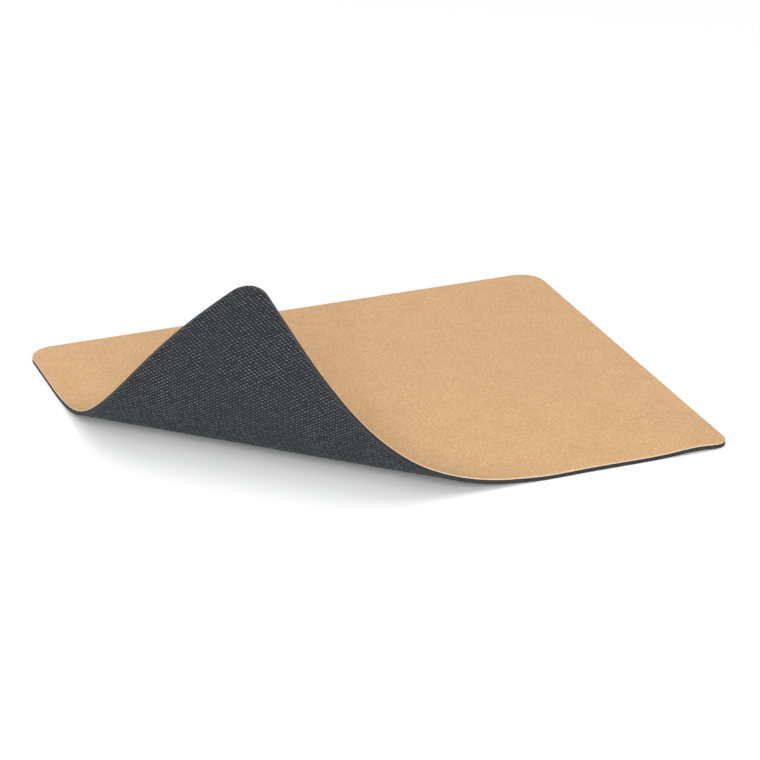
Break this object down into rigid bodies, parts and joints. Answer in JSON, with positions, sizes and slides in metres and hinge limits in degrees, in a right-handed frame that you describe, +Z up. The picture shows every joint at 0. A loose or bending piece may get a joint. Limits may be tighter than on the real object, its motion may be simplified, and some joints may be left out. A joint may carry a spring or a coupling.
{
  "type": "desk mat",
  "caption": "Small rectangular desk mat for a mouse, tan facing on a black embossed rubber base, with round corners and one corner curled up and over.",
  "frame": {"origin": "centre of the flat mat's footprint, on the desk surface", "axes": "+X along the long sides, +Y from the front edge to the back edge, +Z up; the curled corner is the one at -X -Y"},
  "size_m": [0.2203, 0.1803, 0.0687],
  "materials": {
    "facing": "matte, fine fibrous grain",
    "adhesive_film": "translucent film",
    "rubber_base": "matte, fine moulded emboss underneath"
  },
  "bodies": {
    "panel": {"base_panel": "rubber_base", "film_panel": "adhesive_film", "facing_panel": "facing"},
    "strip_01": {"base_strip_01": "rubber_base", "film_strip_01": "adhesive_film", "facing_strip_01": "facing"},
    "strip_02": {"base_strip_02": "rubber_base", "film_strip_02": "adhesive_film", "facing_strip_02": "facing"},
    "strip_03": {"base_strip_03": "rubber_base", "film_strip_03": "adhesive_film", "facing_strip_03": "facing"},
    "strip_04": {"base_strip_04": "rubber_base", "film_strip_04": "adhesive_film", "facing_strip_04": "facing"},
    "strip_05": {"base_strip_05": "rubber_base", "film_strip_05": "adhesive_film", "facing_strip_05": "facing"},
    "strip_06": {"base_strip_06": "rubber_base", "film_strip_06": "adhesive_film", "facing_strip_06": "facing"},
    "strip_07": {"base_strip_07": "rubber_base", "film_strip_07": "adhesive_film", "facing_strip_07": "facing"},
    "strip_08": {"base_strip_08": "rubber_base", "film_strip_08": "adhesive_film", "facing_strip_08": "facing"},
    "strip_09": {"base_strip_09": "rubber_base", "film_strip_09": "adhesive_film", "facing_strip_09": "facing"},
    "strip_10": {"base_strip_10": "rubber_base", "film_strip_10": "adhesive_film", "facing_strip_10": "facing"},
    "strip_11": {"base_strip_11": "rubber_base", "film_strip_11": "adhesive_film", "facing_strip_11": "facing"},
    "strip_12": {"base_strip_12": "rubber_base", "film_strip_12": "adhesive_film", "facing_strip_12": "facing"},
    "strip_13": {"base_strip_13": "rubber_base", "film_strip_13": "adhesive_film", "facing_strip_13": "facing"},
    "strip_14": {"base_strip_14": "rubber_base", "film_strip_14": "adhesive_film", "facing_strip_14": "facing"},
    "strip_15": {"base_strip_15": "rubber_base", "film_strip_15": "adhesive_film", "facing_strip_15": "facing"},
    "strip_16": {"base_strip_16": "rubber_base", "film_strip_16": "adhesive_film", "facing_strip_16": "facing"},
    "strip_17": {"base_strip_17": "rubber_base", "film_strip_17": "adhesive_film", "facing_strip_17": "facing"},
    "strip_18": {"base_strip_18": "rubber_base", "film_strip_18": "adhesive_film", "facing_strip_18": "facing"}
  },
  "joints": [
    {"name": "corner_curl", "type": "hinge", "parent": "panel", "child": "strip_01", "pos_m": [-0.04297, -0.01936, 0.002], "axis": [-0.7254, 0.6884, 0], "range_deg": [-7.61, 7]},
    {"name": "bend_line_02", "type": "hinge", "parent": "strip_01", "child": "strip_02", "pos_m": [-0.0489, -0.02562, 0.00315], "axis": [-0.7254, 0.6884, 0], "range_deg": [-7.61, 7]},
    {"name": "bend_line_03", "type": "hinge", "parent": "strip_02", "child": "strip_03", "pos_m": [-0.05301, -0.02994, 0.00477], "axis": [-0.7254, 0.6884, 0], "range_deg": [-7.61, 7]},
    {"name": "bend_line_04", "type": "hinge", "parent": "strip_03", "child": "strip_04", "pos_m": [-0.0563, -0.03341, 0.00679], "axis": [-0.7254, 0.6884, 0], "range_deg": [-7.61, 7]},
    {"name": "bend_line_05", "type": "hinge", "parent": "strip_04", "child": "strip_05", "pos_m": [-0.05906, -0.03632, 0.00914], "axis": [-0.7254, 0.6884, 0], "range_deg": [-7.61, 7]},
    {"name": "bend_line_06", "type": "hinge", "parent": "strip_05", "child": "strip_06", "pos_m": [-0.06139, -0.03878, 0.0118], "axis": [-0.7254, 0.6884, 0], "range_deg": [-7.61, 7]},
    {"name": "bend_line_07", "type": "hinge", "parent": "strip_06", "child": "strip_07", "pos_m": [-0.06336, -0.04085, 0.01472], "axis": [-0.7254, 0.6884, 0], "range_deg": [-7.61, 7]},
    {"name": "bend_line_08", "type": "hinge", "parent": "strip_07", "child": "strip_08", "pos_m": [-0.06499, -0.04257, 0.0179], "axis": [-0.7254, 0.6884, 0], "range_deg": [-7.61, 7]},
    {"name": "bend_line_09", "type": "hinge", "parent": "strip_08", "child": "strip_09", "pos_m": [-0.06629, -0.04394, 0.02129], "axis": [-0.7254, 0.6884, 0], "range_deg": [-7.61, 7]},
    {"name": "bend_line_10", "type": "hinge", "parent": "strip_09", "child": "strip_10", "pos_m": [-0.06726, -0.04496, 0.02488], "axis": [-0.7254, 0.6884, 0], "range_deg": [-7.61, 7]},
    {"name": "bend_line_11", "type": "hinge", "parent": "strip_10", "child": "strip_11", "pos_m": [-0.0679, -0.04564, 0.02864], "axis": [-0.7254, 0.6884, 0], "range_deg": [-7.61, 7]},
    {"name": "bend_line_12", "type": "hinge", "parent": "strip_11", "child": "strip_12", "pos_m": [-0.0682, -0.04595, 0.03258], "axis": [-0.7254, 0.6884, 0], "range_deg": [-7.61, 7]},
    {"name": "bend_line_13", "type": "hinge", "parent": "strip_12", "child": "strip_13", "pos_m": [-0.06814, -0.04588, 0.03667], "axis": [-0.7254, 0.6884, 0], "range_deg": [-7.61, 7]},
    {"name": "bend_line_14", "type": "hinge", "parent": "strip_13", "child": "strip_14", "pos_m": [-0.06767, -0.0454, 0.04092], "axis": [-0.7254, 0.6884, 0], "range_deg": [-7.61, 7]},
    {"name": "bend_line_15", "type": "hinge", "parent": "strip_14", "child": "strip_15", "pos_m": [-0.06676, -0.04444, 0.04537], "axis": [-0.7254, 0.6884, 0], "range_deg": [-7.61, 7]},
    {"name": "bend_line_16", "type": "hinge", "parent": "strip_15", "child": "strip_16", "pos_m": [-0.0653, -0.0429, 0.05011], "axis": [-0.7254, 0.6884, 0], "range_deg": [-7.61, 7]},
    {"name": "bend_line_17", "type": "hinge", "parent": "strip_16", "child": "strip_17", "pos_m": [-0.06306, -0.04054, 0.05536], "axis": [-0.7254, 0.6884, 0], "range_deg": [-7.61, 7]},
    {"name": "bend_line_18", "type": "hinge", "parent": "strip_17", "child": "strip_18", "pos_m": [-0.05926, -0.03653, 0.06209], "axis": [-0.7254, 0.6884, 0], "range_deg": [-7.61, 7]}
  ],
  "couplings": [
    {"joint": "bend_line_02", "follows": "corner_curl", "ratio": 1},
    {"joint": "bend_line_03", "follows": "corner_curl", "ratio": 1},
    {"joint": "bend_line_04", "follows": "corner_curl", "ratio": 1},
    {"joint": "bend_line_05", "follows": "corner_curl", "ratio": 1},
    {"joint": "bend_line_06", "follows": "corner_curl", "ratio": 1},
    {"joint": "bend_line_07", "follows": "corner_curl", "ratio": 1},
    {"joint": "bend_line_08", "follows": "corner_curl", "ratio": 1},
    {"joint": "bend_line_09", "follows": "corner_curl", "ratio": 1},
    {"joint": "bend_line_10", "follows": "corner_curl", "ratio": 1},
    {"joint": "bend_line_11", "follows": "corner_curl", "ratio": 1},
    {"joint": "bend_line_12", "follows": "corner_curl", "ratio": 1},
    {"joint": "bend_line_13", "follows": "corner_curl", "ratio": 1},
    {"joint": "bend_line_14", "follows": "corner_curl", "ratio": 1},
    {"joint": "bend_line_15", "follows": "corner_curl", "ratio": 1},
    {"joint": "bend_line_16", "follows": "corner_curl", "ratio": 1},
    {"joint": "bend_line_17", "follows": "corner_curl", "ratio": 1},
    {"joint": "bend_line_18", "follows": "corner_curl", "ratio": 1}
  ]
}
